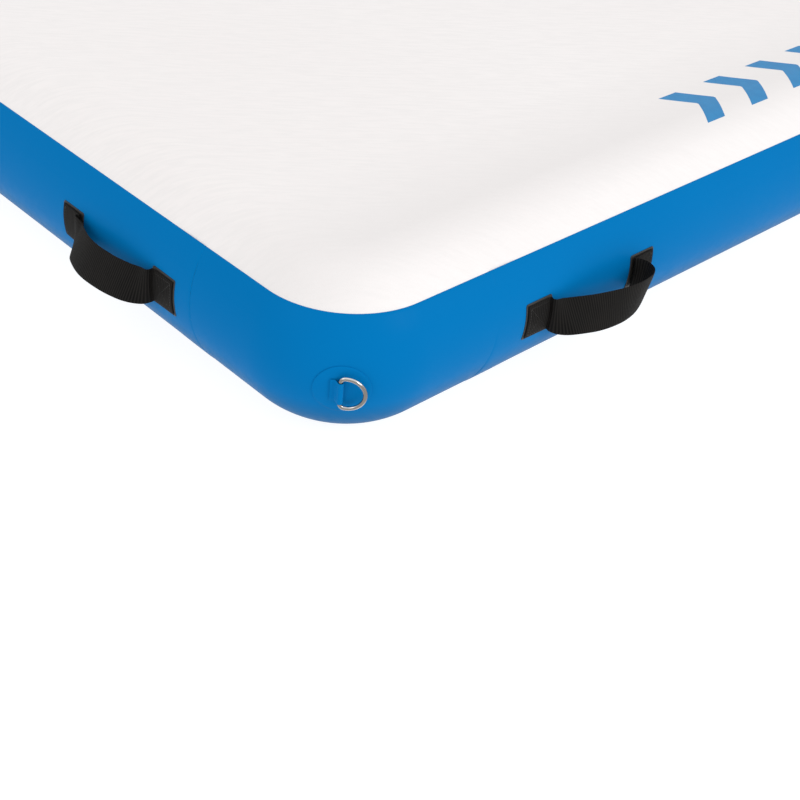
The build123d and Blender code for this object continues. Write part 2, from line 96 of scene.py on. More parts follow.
# ================================================================ shader building
class Graph:
    """A material under construction. Constants go straight on the shader's own sockets."""

    def __init__(self, name, **sockets):
        self.material = bpy.data.materials.new(name)
        self.material.use_nodes = True
        self.tree = self.material.node_tree
        self.shader = self.tree.nodes["Principled BSDF"]
        for socket, value in sockets.items():
            self.shader.inputs[socket.replace("_", " ")].default_value = value

    def node(self, kind, inputs=(), **settings):
        made = self.tree.nodes.new("ShaderNode" + kind)
        for key, value in settings.items():
            setattr(made, key, value)
        for key, value in dict(inputs).items():
            if isinstance(value, bpy.types.NodeSocket):
                self.tree.links.new(value, made.inputs[key])
            else:
                made.inputs[key].default_value = value
        return made

    def place(self, scale=(1, 1, 1), turn=0.0, uv=False):
        """Coordinates for a texture, turned about Z and then scaled, in metres times scale."""
        source = self.node("TexCoord").outputs["UV" if uv else "Object"]
        values = {"Vector": source, "Rotation": (0, 0, turn), "Scale": [1 / s for s in scale]}
        return self.node("Mapping", values, vector_type="TEXTURE").outputs["Vector"]

    def noise(self, vector, scale, detail=3.0, roughness=0.55, distortion=0.0):
        values = {
            "Vector": vector,
            "Scale": scale,
            "Detail": detail,
            "Roughness": roughness,
            "Distortion": distortion,
        }
        return self.node("TexNoise", values).outputs["Fac"]

    def wave(self, vector, direction, pitch, distortion=0.0):
        """Sine ridges across one direction; pitch is in the units of vector."""
        values = {
            "Vector": vector,
            "Scale": math.pi / 10 / pitch,
            "Distortion": distortion,
            "Detail": 1.0,
            "Detail Scale": 1.5,
        }
        return self.node(
            "TexWave", values, wave_type="BANDS", bands_direction=direction
        ).outputs["Fac"]

    def math(self, operation, a, b=0.0):
        return self.node("Math", {0: a, 1: b}, operation=operation).outputs[0]

    def span(self, value, low, high, to_low=0.0, to_high=1.0):
        values = {
            "Value": value,
            "From Min": low,
            "From Max": high,
            "To Min": to_low,
            "To Max": to_high,
        }
        return self.node("MapRange", values).outputs["Result"]

    def mix(self, factor, a, b):
        made = self.node("Mix", data_type="RGBA")
        for key, value in (("Factor_Float", factor), ("A_Color", a), ("B_Color", b)):
            socket = next(s for s in made.inputs if s.identifier == key)
            if isinstance(value, bpy.types.NodeSocket):
                self.tree.links.new(value, socket)
            else:
                socket.default_value = value if key == "Factor_Float" else (*value, 1)
        return next(s for s in made.outputs if s.identifier == "Result_Color")

    def bump(self, height, depth, strength=1.0, normal=None):
        """Depth is the height of a full step, in metres."""
        values = {"Height": height, "Distance": depth, "Strength": strength}
        if normal is not None:
            values["Normal"] = normal
        return self.node("Bump", values).outputs["Normal"]

    def to(self, socket, value):
        self.tree.links.new(value, self.shader.inputs[socket])


def coated_fabric(name, base, shade, scuff_and_reflection, under, roughness, grain, **sockets):
    """Coated fabric: the base cloth shows through the coating as a fine weave.

    Faces that look down are painted duller: painted shade with a painted grey reflection of the
    floor.
    """
    g = Graph(name, **sockets)
    here = g.place()
    broad = g.noise(here, 2.2, 4.0)
    fine = g.noise(here, 90.0, 3.0)
    colour = g.mix(g.span(broad, 0.3, 0.7), base, shade)
    # lighter patches near the floor: partly scuff wear, partly a painted reflection of the floor
    # on the lower rim; the same patches are rougher
    marks = g.noise(g.place((7, 7, 60)), 2.0, 6.0, 0.7)
    height = g.node("SeparateXYZ", {0: here}).outputs["Z"]
    near_floor = g.span(height, 0.045, 0.004)
    wear_and_reflection = g.math("MULTIPLY", g.span(marks, 0.56, 0.74), near_floor)
    colour = g.mix(g.math("MULTIPLY", wear_and_reflection, 0.4), colour, scuff_and_reflection)
    # painted shade and painted grey floor reflection: faces that look down are mixed towards the
    # darker, greyer under colour
    facing = g.node("SeparateXYZ", {0: g.node("NewGeometry").outputs["Normal"]}).outputs["Z"]
    colour = g.mix(g.span(facing, -0.3, -0.7, 0.0, 0.5), colour, under)
    g.to("Base Color", colour)
    rough = g.math("ADD", g.span(fine, 0.3, 0.7, -0.04, 0.05), roughness)
    g.to("Roughness", g.math("ADD", rough, g.math("MULTIPLY", wear_and_reflection, 0.2)))
    weave = g.math(
        "MULTIPLY",
        g.wave(here, "X", grain, 0.4),
        g.math("MULTIPLY", g.wave(here, "Y", grain, 0.4), g.wave(here, "Z", grain, 0.4)),
    )
    normal = g.bump(weave, 0.00002, 0.6)
    g.to("Normal", g.bump(fine, 0.00004, 0.5, normal))
    return g.material


def linen_fabric(name):
    """The tumbling surface: white coating over a coarse linen weave, with slubs."""
    g = Graph(name, Specular_IOR_Level=0.35)
    here = g.place()
    broad = g.noise(here, 1.6, 3.0)
    slub = g.noise(g.place((26, 210, 40), math.radians(-37)), 1.0, 3.0, 0.6, 0.3)
    colour = g.mix(g.span(broad, 0.3, 0.7), (0.805, 0.778, 0.772), (0.79, 0.758, 0.75))
    colour = g.mix(g.span(slub, 0.38, 0.62, 0.0, 0.45), colour, (0.735, 0.715, 0.71))
    # painted shade: the colour is a little darker behind the swell along the front and back edges
    from_middle = g.math("ABSOLUTE", g.node("SeparateXYZ", {0: here}).outputs["Y"])
    inner, outer = g.span(from_middle, 1.26, 1.40), g.span(from_middle, 1.46, 1.42, 0.5)
    painted_dark_band = g.math("MULTIPLY", inner, outer)
    colour = g.mix(g.math("MULTIPLY", painted_dark_band, 0.8), colour, (0.72, 0.695, 0.69))
    g.to("Base Color", colour)
    g.to("Roughness", g.span(g.noise(here, 60.0), 0.3, 0.7, 0.46, 0.58))
    threads = g.math("ADD", g.wave(here, "X", 0.0017, 0.7), g.wave(here, "Y", 0.0017, 0.7))
    normal = g.bump(threads, 0.00006, 0.5)
    g.to("Normal", g.bump(slub, 0.0004, 0.6, normal))
    return g.material


def ribbed_webbing(name):
    """Black woven webbing. UV is metres along it and across it."""
    g = Graph(name, Sheen_Weight=0.015, Sheen_Roughness=0.45, Specular_IOR_Level=0.1)
    uv = g.place(uv=True)
    rib = g.wave(uv, "X", 0.00275)
    warp = g.wave(g.place((1, 1, 1), math.radians(12), uv=True), "Y", 0.0011, 0.3)
    fuzz = g.noise(uv, 900.0, 4.0, 0.7)
    broad = g.noise(uv, 35.0, 3.0)
    high = g.math("MULTIPLY", g.math("MULTIPLY", rib, warp), g.span(fuzz, 0.25, 0.75))
    line = g.span(rib, 0.3, 0.9)
    colour = g.mix(g.span(high, 0.0, 0.7), (0.0005, 0.0005, 0.0005), (0.0075, 0.0066, 0.006))
    colour = g.mix(g.span(broad, 0.35, 0.75, 0.0, 0.4), colour, (0.0075, 0.0062, 0.0052))
    colour = g.mix(g.math("MULTIPLY", line, 0.35), colour, (0.026, 0.0235, 0.0215))
    g.to("Base Color", colour)
    g.to("Roughness", g.span(fuzz, 0.2, 0.8, 0.55, 0.8))
    g.to("Normal", g.bump(high, 0.00025, 0.8))
    return g.material


def plain_finish(name, base, other, roughness, scale, depth):
    """Moulded, cast or coated finish: mottled colour and a fine texture."""
    g = Graph(name)
    here = g.place()
    broad, fine = g.noise(here, scale / 12, 4.0), g.noise(here, scale, 4.0, 0.65)
    g.to("Base Color", g.mix(g.span(broad, 0.35, 0.65), base, other))
    g.to("Roughness", g.math("ADD", g.span(fine, 0.3, 0.7, -0.06, 0.08), roughness))
    g.to("Normal", g.bump(fine, depth, 0.6))
    return g.material


def polished_metal(name):
    """Polished wire: hairlines, and a painted dark reflection: a dark band where it faces
    sideways.
    """
    g = Graph(name, Metallic=1.0)
    here = g.place()
    hairline = g.noise(g.place((60, 60, 2200)), 1.0, 2.0)
    cloud = g.noise(here, 180.0, 3.0)
    facing = g.node("SeparateXYZ", {0: g.node("NewGeometry").outputs["Normal"]}).outputs["Z"]
    # painted dark reflection: the colour darkens to a dark band where the wire faces sideways
    painted_dark_band = g.math("MULTIPLY", g.span(facing, -0.55, -0.15), g.span(facing, 0.75, 0.35))
    colour = g.mix(cloud, (0.80, 0.78, 0.75), (0.62, 0.61, 0.60))
    g.to("Base Color", g.mix(g.math("MULTIPLY", painted_dark_band, 0.85), colour, (0.13, 0.11, 0.095)))
    g.to("Roughness", g.span(cloud, 0.3, 0.75, 0.10, 0.20))
    g.to("Normal", g.bump(hairline, 0.00001, 0.5))
    return g.material


LOOKS = {
    "white_pvc": linen_fabric("white_pvc"),
    "blue_pvc": coated_fabric(
        "blue_pvc",
        base=(0.0002, 0.155, 0.418),
        shade=(0.0002, 0.146, 0.400),
        # scuff colour near the floor: partly wear, partly a painted floor reflection
        scuff_and_reflection=(0.06, 0.22, 0.46),
        # under: painted shade and painted grey floor reflection on faces that look down
        under=(0.01, 0.07, 0.15),
        roughness=0.36,
        grain=0.0011,
        Specular_IOR_Level=0.015,
    ),
    "print_ink": plain_finish(
        "print_ink", (0.006, 0.18, 0.42), (0.008, 0.20, 0.45), 0.55, 900.0, 0.00003
    ),
    "seam_tape": plain_finish(
        "seam_tape", (0.50, 0.51, 0.53), (0.42, 0.43, 0.45), 0.6, 800.0, 0.00004
    ),
    "polyester_yarn": plain_finish(
        "polyester_yarn", (0.78, 0.78, 0.76), (0.66, 0.66, 0.64), 0.7, 2500.0, 0.00008
    ),
    "black_pvc": plain_finish(
        "black_pvc", (0.012, 0.011, 0.010), (0.018, 0.017, 0.016), 0.5, 700.0, 0.00005
    ),
    "black_webbing": ribbed_webbing("black_webbing"),
    "black_thread": plain_finish(
        "black_thread", (0.010, 0.0095, 0.009), (0.018, 0.0165, 0.0155), 0.5, 3000.0, 0.00005
    ),
    "polished_steel": polished_metal("polished_steel"),
    "valve_plastic": plain_finish(
        "valve_plastic", (0.15, 0.16, 0.17), (0.20, 0.21, 0.22), 0.42, 1500.0, 0.00003
    ),
    "cap_plastic": plain_finish(
        "cap_plastic", (0.018, 0.018, 0.02), (0.028, 0.028, 0.03), 0.38, 1500.0, 0.00003
    ),
    "valve_rubber": plain_finish(
        "valve_rubber", (0.015, 0.015, 0.015), (0.03, 0.03, 0.03), 0.75, 1200.0, 0.00004
    ),
}


# ================================================================ mesh building
def build(name, points, faces, look, slot=None, uvs=None, smooth=True, sharp=40.0):
    """An object from points in mm. uvs are per point, in metres."""
    mesh = bpy.data.meshes.new(name)
    mesh.from_pydata([tuple(p) for p in np.asarray(points) * MM], [], faces)
    mesh.validate()
    if uvs is not None:
        layer = mesh.uv_layers.new(name="UVMap")
        loop_points = np.empty(len(mesh.loops), np.int32)
        mesh.loops.foreach_get("vertex_index", loop_points)
        layer.data.foreach_set("uv", np.asarray(uvs, np.float32)[loop_points].ravel())
    if smooth:
        mesh.shade_smooth()
        mesh.set_sharp_from_angle(angle=math.radians(sharp))
    mesh.materials.append(LOOKS[look])
    made = bpy.data.objects.new(name, mesh)
    bpy.context.scene.collection.objects.link(made)
    if slot or look in frame_slots:
        slot or look
    return made


def grid_faces(rows, columns, wrap_rows=False, wrap_columns=False, start=0, flip=False):
    """Quads over rows x columns points held row by row."""
    faces = []
    for i in range(rows if wrap_rows else rows - 1):
        for j in range(columns if wrap_columns else columns - 1):
            k, l = (i + 1) % rows, (j + 1) % columns
            quad = (i * columns + j, i * columns + l, k * columns + l, k * columns + j)
            faces.append(tuple(start + q for q in (quad[::-1] if flip else quad)))
    return faces


def sweep(loops, closed=False):
    """Points and faces of a closed section carried along: loops is (stations, section, 3)."""
    loops = np.asarray(loops, float)
    count, size = loops.shape[:2]
    faces = grid_faces(count, size, wrap_rows=closed, wrap_columns=True)
    if not closed:
        faces.append(tuple(range(size)))
        faces.append(tuple((count - 1) * size + i for i in reversed(range(size))))
    return loops.reshape(-1, 3), faces


def outward_faces(points, faces):
    """The same faces, turned if the closed mesh is inside out."""
    p = np.asarray(points, float)
    p = p - p.mean(0)
    quads = np.array([f for f in faces if len(f) == 4])
    a, b, c, d = (p[quads[:, k]] for k in range(4))
    volume = (a * np.cross(b, c)).sum() + (a * np.cross(c, d)).sum()
    return faces if volume > 0 else [tuple(reversed(f)) for f in faces]


def smoothstep(x):
    x = np.clip(x, 0.0, 1.0)
    return x * x * (3 - 2 * x)


def ripple(a, b, seed, size=1.0):
    """Smooth repeatable unevenness, about -1 to 1, from a few crossed waves."""
    rng = np.random.default_rng(seed)
    total = 0.0
    for _ in range(6):
        ka, kb = rng.uniform(-1, 1, 2)
        total = total + np.sin((ka * a + kb * b) / size + rng.uniform(0, 6.28))
    return total / 3.0


# ================================================================ stations round the rim
def side_stations(side, alongs):
    out_x, out_y = SIDES[side]
    alongs = np.asarray(alongs, float)
    made = np.zeros((len(alongs), 4))
    made[:, 0] = out_x * RIM_X + abs(out_y) * alongs
    made[:, 1] = out_y * RIM_Y + abs(out_x) * alongs
    made[:, 2:] = out_x, out_y
    return made


def corner_stations(corner, turns):
    """Turns run from 0 on the X side to 90 degrees on the Y side."""
    corner_x, corner_y = CORNERS[corner]
    a = np.radians(np.asarray(turns, float))
    out = np.stack([corner_x * np.cos(a), corner_y * np.sin(a)], 1)
    centre = np.array([corner_x * TURN_X, corner_y * TURN_Y])
    return np.hstack([centre + out * TURN, out])


def rim_point(stations, angles, radii):
    """Points at angles (degrees) and radii about each station's point of the centre line."""
    a = np.radians(angles)
    reach = radii * np.cos(a)
    x = stations[..., 0] + stations[..., 2] * reach
    y = stations[..., 1] + stations[..., 3] * reach
    return np.stack(np.broadcast_arrays(x, y, MID_Z + radii * np.sin(a)), -1)


# ================================================================ sheets
SHEET_SKIN = 0.9
RIDGE, RIDGE_AT, RIDGE_FROM, RIDGE_TO = 3.2, 60.0, 26.0, 160.0


def ridge(inset):
    """Swell of the rim above the stitched middle. Inset is measured from the outermost line."""
    rise = smoothstep((inset - RIDGE_FROM) / (RIDGE_AT - RIDGE_FROM))
    fall = smoothstep((RIDGE_TO - inset) / (RIDGE_TO - RIDGE_AT))
    return RIDGE * rise * fall


def top_height(inset):
    inset = np.asarray(inset, float)
    over = np.clip(WALL_OUT - inset, 0.0, SHEET_OUT)
    return MID_Z + np.sqrt(SHEET_OUT**2 - over**2) + ridge(inset)


def plate_inset(x, y):
    """Distance in from the outermost lines, rounded where two sides meet."""
    a = np.maximum(RIDGE_TO - HALF_X + np.abs(x), 0)
    b = np.maximum(RIDGE_TO - HALF_Y + np.abs(y), 0)
    return RIDGE_TO - np.hypot(a, b)


def sheet_mesh(is_top):
    """The plate, the four straight shoulders and the four corner fans of one sheet."""
    edge_angle = abs(SHEET_EDGE["top_sheet" if is_top else "bottom_sheet"])
    sign = 1.0 if is_top else -1.0
    points, faces = [], []

    def add_grid(p, flip):
        start = sum(len(q) for q in points)
        rows, columns = p.shape[:2]
        points.append(p.reshape(-1, 3))
        faces.extend(grid_faces(rows, columns, start=start, flip=flip))

    def surface(x, y, z):
        """The sheet at a height from the mat's middle, swollen along its rim if it is the top."""
        swell = ridge(plate_inset(x, y)) if is_top else 0.0
        return np.stack(np.broadcast_arrays(x, y, MID_Z + sign * (z + swell)), -1)

    steps = np.array([0, 12, 26, 42, 60, 80, 100, 120])
    xs = np.concatenate([-TURN_X + steps, np.arange(-720, 721, 30.0), TURN_X - steps[::-1]])
    ys = np.concatenate([-TURN_Y + steps, np.arange(-1230, 1231, 30.0), TURN_Y - steps[::-1]])
    gx, gy = np.meshgrid(xs, ys, indexing="ij")
    add_grid(surface(gx, gy, SHEET_OUT), flip=not is_top)

    # shoulder profile: distance out from the corner axis line, and height
    flat = np.linspace(0, TURN, 6)
    around = np.linspace(90, edge_angle, 44)[1:]
    out = np.concatenate([flat, TURN + SHEET_OUT * np.cos(np.radians(around))])
    up = np.concatenate([np.full(6, SHEET_OUT), SHEET_OUT * np.sin(np.radians(around))])
    for side, (out_x, out_y) in SIDES.items():
        alongs = ys if out_x else xs
        x = out_x * (TURN_X + out)[None, :] + abs(out_y) * alongs[:, None]
        y = out_y * (TURN_Y + out)[None, :] + abs(out_x) * alongs[:, None]
        add_grid(surface(x, y, up), flip=((out_x - out_y) < 0) != is_top)
    for corner_x, corner_y in CORNERS.values():
        a = np.radians(np.linspace(0, 90, 31))[:, None]
        x = corner_x * (TURN_X + out * np.cos(a))
        y = corner_y * (TURN_Y + out * np.sin(a))
        add_grid(surface(x, y, up), flip=(corner_x * corner_y < 0) == is_top)
    return np.concatenate(points), faces


def merge_points(obj, distance=0.02):
    """Joins points that fall together, and drops the faces that vanish."""
    bm = bmesh.new()
    bm.from_mesh(obj.data)
    bmesh.ops.remove_doubles(bm, verts=bm.verts, dist=distance * MM)
    bmesh.ops.recalc_face_normals(bm, faces=bm.faces)
    bm.to_mesh(obj.data)
    bm.free()


for sheet_name, look in (("top_sheet", "white_pvc"), ("bottom_sheet", "blue_pvc")):
    sheet_points, sheet_faces = sheet_mesh(sheet_name == "top_sheet")
    sheet = build("visual_" + sheet_name, sheet_points, sheet_faces, look)
    merge_points(sheet)
    up = sheet.data.polygons[0].normal.z
    if (up < 0) == (sheet_name == "top_sheet"):
        sheet.data.flip_normals()
    sheet.data.shade_smooth()
    skin = sheet.modifiers.new("thickness", "SOLIDIFY")
    skin.thickness, skin.offset = SHEET_SKIN * MM, -1.0
    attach(sheet, "mat")
    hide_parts(sheet_name)


# ================================================================ walls
LIP = np.array([(0.0, 1.0), (0.12, 0.75), (0.35, 0.35), (0.8, 0.0)])  # degrees in, mm down
GROOVE, GROOVE_AT, GROOVE_WIDTH = 0.12, 25.4, 1.6
LAP_THICKNESS, LAP_RISE, LAP_FALL = 0.35, 250.5, 285.0
SEAM_LEAN_TOP, SEAM_LEAN_FOOT = 6.0, -7.0
WALL_WANDER, VALVE_HOLE = 0.22, 22.0


def wall_angles():
    """Angles up the wall's face, close together at its lips and across the groove."""
    foot, top = WALL_FOOT + LIP[:, 0], WALL_TOP - LIP[::-1, 0]
    below = np.linspace(foot[-1], 22, 52)[1:]
    across = np.linspace(22.4, 28.4, 16)
    above = np.linspace(29.5, top[0], 8)[:-1]
    return np.concatenate([foot, below, across, above, top])


def wall_relief(angles):
    """Outward relief of the wall's face at each angle, in mm from its nominal radius."""
    relief = -GROOVE * np.exp(-(((angles - GROOVE_AT) / GROOVE_WIDTH) ** 2))
    relief = relief - np.interp(WALL_TOP - angles, LIP[:, 0], LIP[:, 1])
    return relief - np.interp(angles - WALL_FOOT, LIP[:, 0], LIP[:, 1])


def wall_mesh(stations, alongs, radius, thickness, ends, lean, seed):
    """A strip of wall. radius is the outer radius at each station; ends drop it at a cut edge."""
    angles = wall_angles()
    back = np.linspace(WALL_TOP, WALL_FOOT, 18)
    relief = wall_relief(angles)
    in_middle = (1 - smoothstep((np.abs(angles) - 20) / 30))[None, :]
    uneven = ripple(np.asarray(alongs)[:, None], angles[None, :] * 3.0, seed, 55.0)
    wander = WALL_WANDER * uneven * in_middle
    outer = radius[:, None] + relief[None, :] + wander - ends[:, None]
    inner = (radius - thickness)[:, None] + 0 * back[None, :]
    loop_angles = np.concatenate([angles, back])
    loop_radii = np.hstack([outer, inner])
    loops = rim_point(stations[:, None, :], loop_angles[None, :], loop_radii)
    # a cut end leans: its upper part stands further from the corner
    slope = np.interp(loop_angles, [WALL_FOOT, WALL_TOP], [SEAM_LEAN_FOOT, SEAM_LEAN_TOP])
    along_x, along_y = -stations[:, 3], stations[:, 2]
    shift = lean[:, None] * slope[None, :]
    loops[..., 0] += along_x[:, None] * shift
    loops[..., 1] += along_y[:, None] * shift
    return sweep(loops)


def cut_end(distance):
    """How far a wall's face drops near its cut end."""
    return LAP_THICKNESS * (1 - smoothstep(distance / 2.2))


def drilled(obj, radius):
    """Cuts the valve's hole through the back wall."""
    bpy.ops.mesh.primitive_cylinder_add(
        vertices=64, radius=radius * MM, depth=0.06, location=(0, HALF_Y * MM, MID_Z * MM)
    )
    drill = bpy.context.object
    drill.rotation_euler = (math.pi / 2, 0, 0)
    bpy.context.view_layer.update()
    cut = obj.modifiers.new("hole", "BOOLEAN")
    cut.operation, cut.solver, cut.object = "DIFFERENCE", "EXACT", drill
    evaluated = obj.evaluated_get(bpy.context.evaluated_depsgraph_get())
    whole = bpy.data.meshes.new_from_object(evaluated)
    obj.modifiers.clear()
    obj.data = whole
    bpy.data.objects.remove(drill)


# distances from a side wall's cut end, close together where its face settles
NEAR_END = np.array([0, 0.2, 0.6, 1.4, 4, 9, 14, 19, 24, 25.5, 27.5, 30, 33, 36, 40, 48, 60, 76])

for index, side in enumerate(SIDES):
    out_x, out_y = SIDES[side]
    half = (HALF_Y if out_x else HALF_X) - SEAM_FROM_END
    middle = np.linspace(-half + 96, half - 96, int((2 * half - 192) / 14))
    alongs = np.concatenate([-half + NEAR_END, middle, half - NEAR_END[::-1]])
    stations = side_stations(side, alongs)
    from_end = half - np.abs(alongs)
    from_corner = from_end + SEAM_FROM_END
    settle = smoothstep((from_corner - LAP_RISE) / (LAP_FALL - LAP_RISE))
    radius = WALL_OUT + LAP_THICKNESS * (1 - settle)
    thickness = LAP_THICKNESS + (FABRIC - LAP_THICKNESS) * settle
    # positive shift runs along (-out_y, out_x); at each end it must point away from the corner
    run = 1.0 if (out_x - out_y) > 0 else -1.0
    lean = -run * np.sign(alongs) * (1 - smoothstep(from_end / 70.0))
    wall_points, wall_faces = wall_mesh(
        stations, alongs, radius, thickness, cut_end(from_end), lean, 20 + index
    )
    wall = build(
        "visual_side_wall_" + side, wall_points, outward_faces(wall_points, wall_faces), "blue_pvc"
    )
    if side == "back":
        drilled(wall, VALVE_HOLE)
    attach(wall, "mat")
    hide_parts("side_wall_" + side)

STUB = SEAM_FROM_END + LAP - (WALL_OUT + TURN)  # a corner wall's straight run beyond its curve
for index, (corner, (corner_x, corner_y)) in enumerate(CORNERS.items()):
    x_name, y_name = "right" if corner_x > 0 else "left", "back" if corner_y > 0 else "front"
    stub = np.concatenate([[0, 0.3, 1.0], np.linspace(8, STUB - 4, 12)])
    x_side = side_stations(x_name, corner_y * (TURN_Y - STUB + stub))
    y_side = side_stations(y_name, corner_x * (TURN_X - STUB + stub[::-1]))
    turn = corner_stations(corner, np.linspace(0, 90, 46))
    stations = np.concatenate([x_side, turn, y_side])
    curve = WALL_OUT + TURN
    run = np.concatenate([stub - STUB, np.linspace(0, curve, 46), curve + STUB - stub[::-1]])
    even = np.ones(len(stations))
    wall_points, wall_faces = wall_mesh(
        stations, run, WALL_OUT * even, FABRIC * even, 0 * even, 0 * even, 40 + index
    )
    wall = build(
        "visual_corner_wall_" + corner,
        wall_points,
        outward_faces(wall_points, wall_faces),
        "blue_pvc",
    )
    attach(wall, "mat")
    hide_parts("corner_wall_" + corner)


# ================================================================ things fixed on a side wall
def on_side(side, along, out, z):
    """Point a distance out from a side's outermost line."""
    out_x, out_y = SIDES[side]
    along, out, z = np.broadcast_arrays(along, out, z)
    x = out_x * (HALF_X + out) + abs(out_y) * along
    y = out_y * (HALF_Y + out) + abs(out_x) * along
    return np.stack([x, y, z], -1)


def rounded_outline(half_a, half_b, radius, per_corner=7):
    """Points round a rectangle with rounded corners."""
    made = []
    for k, (sa, sb) in enumerate(((1, 1), (-1, 1), (-1, -1), (1, -1))):
        a, b = sa * (half_a - radius), sb * (half_b - radius)
        for t in np.radians(np.linspace(0, 90, per_corner) + 90 * k):
            made.append((a + radius * math.cos(t), b + radius * math.sin(t)))
    return np.array(made)


def divided(outline, step):
    """The same closed outline with its long runs divided."""
    made = []
    for a, b in zip(outline, np.roll(outline, -1, 0)):
        count = max(1, int(np.linalg.norm(b - a) / step))
        made += [a + (b - a) * k / count for k in range(count)]
    return np.array(made)


def pad_rings(outline, thickness, place, rings=7, edge=0.5):
    """A thin pad: rings from the middle out over a rounded edge, and a back. place(a, b, h)."""
    rim = edge / np.abs(outline).max()
    profile = [(k / rings, thickness) for k in range(1, rings)]
    profile += [(1 - rim, thickness), (1 - 0.3 * rim, thickness * 0.85)]
    profile += [(1, thickness * 0.45), (1, 0.0)]
    profile += [(k / rings, 0.0) for k in range(rings - 1, 0, -1)]
    rows = [place(outline[:, 0] * s, outline[:, 1] * s, h) for s, h in profile]
    count, middle = len(outline), np.zeros(1)
    points = [place(middle, middle, thickness), *rows, place(middle, middle, 0.0)]
    faces = [(0, 1 + i, 1 + (i + 1) % count) for i in range(count)]
    faces += grid_faces(len(rows), count, wrap_columns=True, start=1)
    last = 1 + (len(rows) - 1) * count
    end = last + count
    faces += [(end, last + (i + 1) % count, last + i) for i in range(count)]
    return np.concatenate(points), faces


def joined(parts):
    """One point and face list from several."""
    points, faces, start = [], [], 0
    for p, f in parts:
        points.append(p)
        faces += [tuple(start + i for i in face) for face in f]
        start += len(p)
    return np.concatenate(points), faces


def on_wall(side, along, out, rise):
    """Point at a distance out of a side wall's face; rise is measured along the face."""
    middle = math.asin((HANDLE_Z - MID_Z) / WALL_OUT)
    angle = middle + rise / (WALL_OUT + WEBBING)
    radius = WALL_OUT + out
    return on_side(side, along, radius * np.cos(angle) - WALL_OUT, MID_Z + radius * np.sin(angle))


backing_outline = divided(
    rounded_outline(PAD_LENGTH / 2 + BACKING_MARGIN, WEBBING_WIDTH / 2 + BACKING_MARGIN, 2.5), 6.0
)
backings = []
for side, along in HANDLES.values():
    for end in (-1, 1):
        centre = along + end * (HANDLE_HALF - PAD_LENGTH / 2)
        backings.append(
            pad_rings(
                backing_outline,
                FABRIC - PAD_GAP,
                lambda a, b, h, s=side, c=centre: on_wall(s, c + a, h, b),
            )
        )
backing_points, backing_faces = joined([(p, outward_faces(p, f)) for p, f in backings])
backing = build("visual_handle_backings", backing_points, backing_faces, "black_pvc")
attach(backing, "mat")
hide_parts("handle_backings")

# ---------------------------------------------------------------- webbing
RIB_PITCH, RIB, RIB_SINK, STEP = 2.75, 0.13, 0.1, 0.55
FOLD, TURNING = 9.0, 26.0  # over these it leaves the pad's roundness, and takes up its lean
LEAN_LIMITS = (-12, 32)


def smooth_line(knots, per_span=16):
    """Points of a smooth curve through the knots."""
    k = np.asarray(knots, float)
    k = np.vstack([2 * k[0] - k[1], k, 2 * k[-1] - k[-2]])
    t = (np.arange(per_span) / per_span)[:, None]
    made = []
    for p, q, r, s in zip(k, k[1:], k[2:], k[3:]):
        slope, bend, twist = r - p, 2 * p - 5 * q + 4 * r - s, 3 * q - p - 3 * r + s
        made.append(q + (slope * t + bend * t**2 + twist * t**3) / 2)
    return np.vstack([*made, k[-2:-1]])


def softened(line, passes):
    """The same line with its sharp turns rounded off."""
    for _ in range(passes):
        line = np.vstack([line[:1], (line[:-2] + 2 * line[1:-1] + line[2:]) / 4, line[-1:]])
    return line


def even_steps(line, step):
    """The same line divided evenly, and each point's distance along it."""
    run = np.concatenate([[0], np.cumsum(np.linalg.norm(np.diff(line, axis=0), axis=1))])
    places = np.linspace(0, run[-1], int(run[-1] / step))
    return np.stack([np.interp(places, run, line[:, k]) for k in range(2)], 1), places


class Loop:
    """The hanging shape of one handle's webbing.

    outline is (along, out) of its middle line between the two pads. The webbing leans back by lean
    degrees at the middle, changing by lean_change per mm along.
    """

    def __init__(self, outline, lean, lean_change=0.0):
        self.outline, self.lean, self.lean_change = np.array(outline), lean, lean_change

    def mirrored(self):
        return Loop(self.outline[::-1] * (-1, 1), self.lean, -self.lean_change)

    def surface(self, across):
        """Middle surface of the webbing as (along, out, z), one row for each step along it."""
        level = FABRIC + WEBBING / 2
        line = np.vstack([(-HANDLE_HALF, level), smooth_line(self.outline), (HANDLE_HALF, level)])
        line = even_steps(softened(even_steps(line, STEP)[0], 6), STEP)[0]
        line, run = even_steps(line, STEP)
        a, middle_out = line[:, :1], line[:, 1:]
        from_root = np.minimum(run, run[-1] - run)[:, None] - PAD_LENGTH
        free = smoothstep(from_root / FOLD)
        lean = np.clip(self.lean + self.lean_change * a, *LEAN_LIMITS)
        lean = np.radians(lean * smoothstep(from_root / TURNING))
        angle = math.asin((HANDLE_Z - MID_Z) / WALL_OUT) + across / (WALL_OUT + level)
        drop = (WALL_OUT + level) * (np.cos(angle) - 1)
        pad_z = MID_Z + (WALL_OUT + level) * np.sin(angle)
        out = middle_out + (1 - free) * drop - free * across * np.sin(lean)
        z = (1 - free) * pad_z + free * (HANDLE_Z + across * np.cos(lean))
        return np.stack(np.broadcast_arrays(a, out, z), -1)


SIDE_LOOP = Loop(
    [
        (-68, 2.4), (-68.6, 7), (-64.5, 12.5), (-50, 20), (-37, 24), (-20, 27.3), (5, 29),
        (25, 27.2), (45, 21.5), (60, 14.5), (69, 9), (72.5, 6.2), (71, 4.4), (68.5, 3.6),
    ],
    lean=28.0,
)
END_LOOP = Loop(
    [
        (-68, 2.4), (-70, 7), (-64, 14), (-47, 22.5), (-22, 32.5), (8, 38.8), (30, 39.3),
        (47, 36.5), (63, 31), (72.5, 24), (76, 16.5), (75.5, 10.5), (72.5, 6.2), (68.8, 3.9),
    ],
    lean=13.0,
    lean_change=-0.4,
)
LOOPS = {
    "left": SIDE_LOOP,
    "right": SIDE_LOOP.mirrored(),
    "front": END_LOOP,
    "back": END_LOOP.mirrored(),
}


